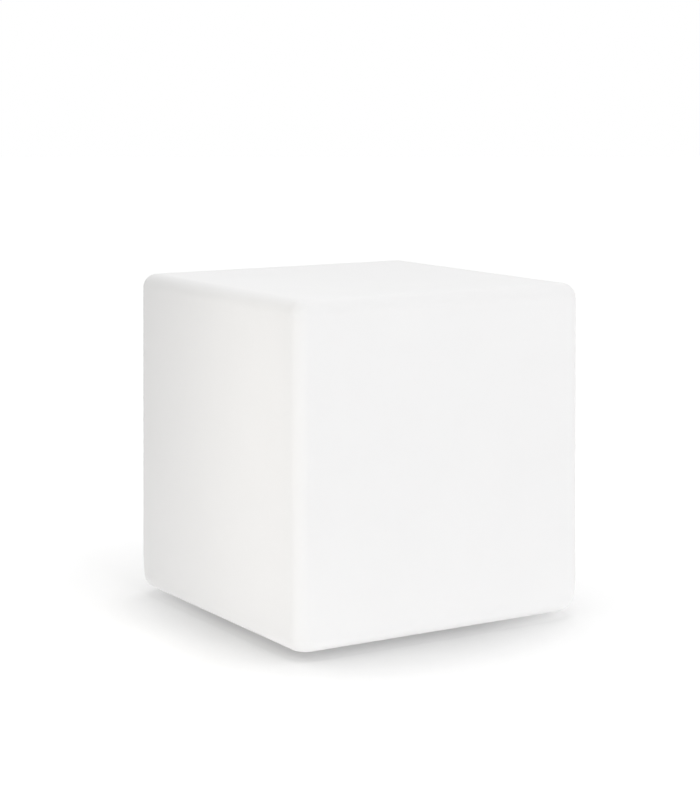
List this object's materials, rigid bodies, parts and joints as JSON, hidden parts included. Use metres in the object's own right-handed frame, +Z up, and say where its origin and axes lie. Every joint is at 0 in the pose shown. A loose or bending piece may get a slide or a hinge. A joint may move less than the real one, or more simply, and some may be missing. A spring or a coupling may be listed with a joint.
{
  "type": "outdoor ground light",
  "caption": "Free-standing outdoor light: a hollow rounded cube of opal plastic on rubber feet, lit from inside by a lamp on a base plate that closes its underside.",
  "frame": {"origin": "on the ground, under the middle of the cube", "axes": "+Z up, along the axis of the lamp and of the shell's lift; +Y towards the cable gland; -Y is the front"},
  "size_m": [0.3996, 0.3996, 0.408],
  "materials": {
    "opal_polyethylene": "satin, opal, through-dyed, fine moulded grain",
    "base_plastic": "satin moulded polypropylene",
    "brass": "turned",
    "stainless_steel": "bright stainless",
    "zinc_plated_steel": "zinc plated sheet",
    "nickel_plate": "nickel plated sheet",
    "seal_rubber": "matt black",
    "foot_rubber": "matt dark grey",
    "gland_nylon": "satin grey nylon",
    "holder_plastic": "white heat-proof moulding",
    "holder_ceramic": "glazed steatite",
    "terminal_nylon": "natural nylon",
    "brown_sheath": "brown insulation",
    "blue_sheath": "blue insulation",
    "lamp_insulator_black": "black glass-like",
    "lamp_white": "white moulded",
    "lamp_opal": "frosted opal",
    "lamp_board": "white board with yellow chips"
  },
  "bodies": {
    "base": {"base_plate": "base_plastic", "base_gasket": "seal_rubber", "base_screws": "stainless_steel", "screw_washers": "stainless_steel", "rubber_feet": "foot_rubber", "gland_body": "gland_nylon", "gland_seal_ring": "seal_rubber", "gland_locknut": "gland_nylon", "gland_insert": "seal_rubber", "gland_cap": "gland_nylon", "lamp_bracket": "zinc_plated_steel", "bracket_screws": "zinc_plated_steel", "holder_nipple": "zinc_plated_steel", "nipple_nut": "zinc_plated_steel", "holder_dome": "holder_plastic", "holder_core": "holder_ceramic", "holder_screw_shell": "nickel_plate", "holder_contact": "brass", "holder_skirt": "holder_plastic", "terminal_block": "terminal_nylon", "terminal_sleeves": "brass", "terminal_screws": "zinc_plated_steel", "block_screw": "zinc_plated_steel", "live_wire": "brown_sheath", "neutral_wire": "blue_sheath"},
    "shell": {"diffuser_shell": "opal_polyethylene", "threaded_inserts": "brass"},
    "lamp_foot": {"lamp_insulator": "lamp_insulator_black", "lamp_contact": "nickel_plate"},
    "lamp": {"lamp_cap": "nickel_plate", "lamp_collar": "lamp_white", "lamp_led_board": "lamp_board", "lamp_globe": "lamp_opal"}
  },
  "joints": [
    {"name": "shell_lift", "type": "slide", "parent": "base", "child": "shell", "axis": [0, 0, 1], "range_m": [0, 0.25]},
    {"name": "lamp_lift", "type": "slide", "parent": "base", "child": "lamp_foot", "axis": [0, 0, 1], "range_m": [0, 0.0146]},
    {"name": "lamp_turn", "type": "hinge", "parent": "lamp_foot", "child": "lamp", "pos_m": [0, 0, 0.14], "axis": [0, 0, 1], "range_deg": [0, 1440]}
  ],
  "couplings": [
    {"joint": "lamp_lift", "follows": "lamp_turn", "m_per_rad": 0.00057757}
  ]
}
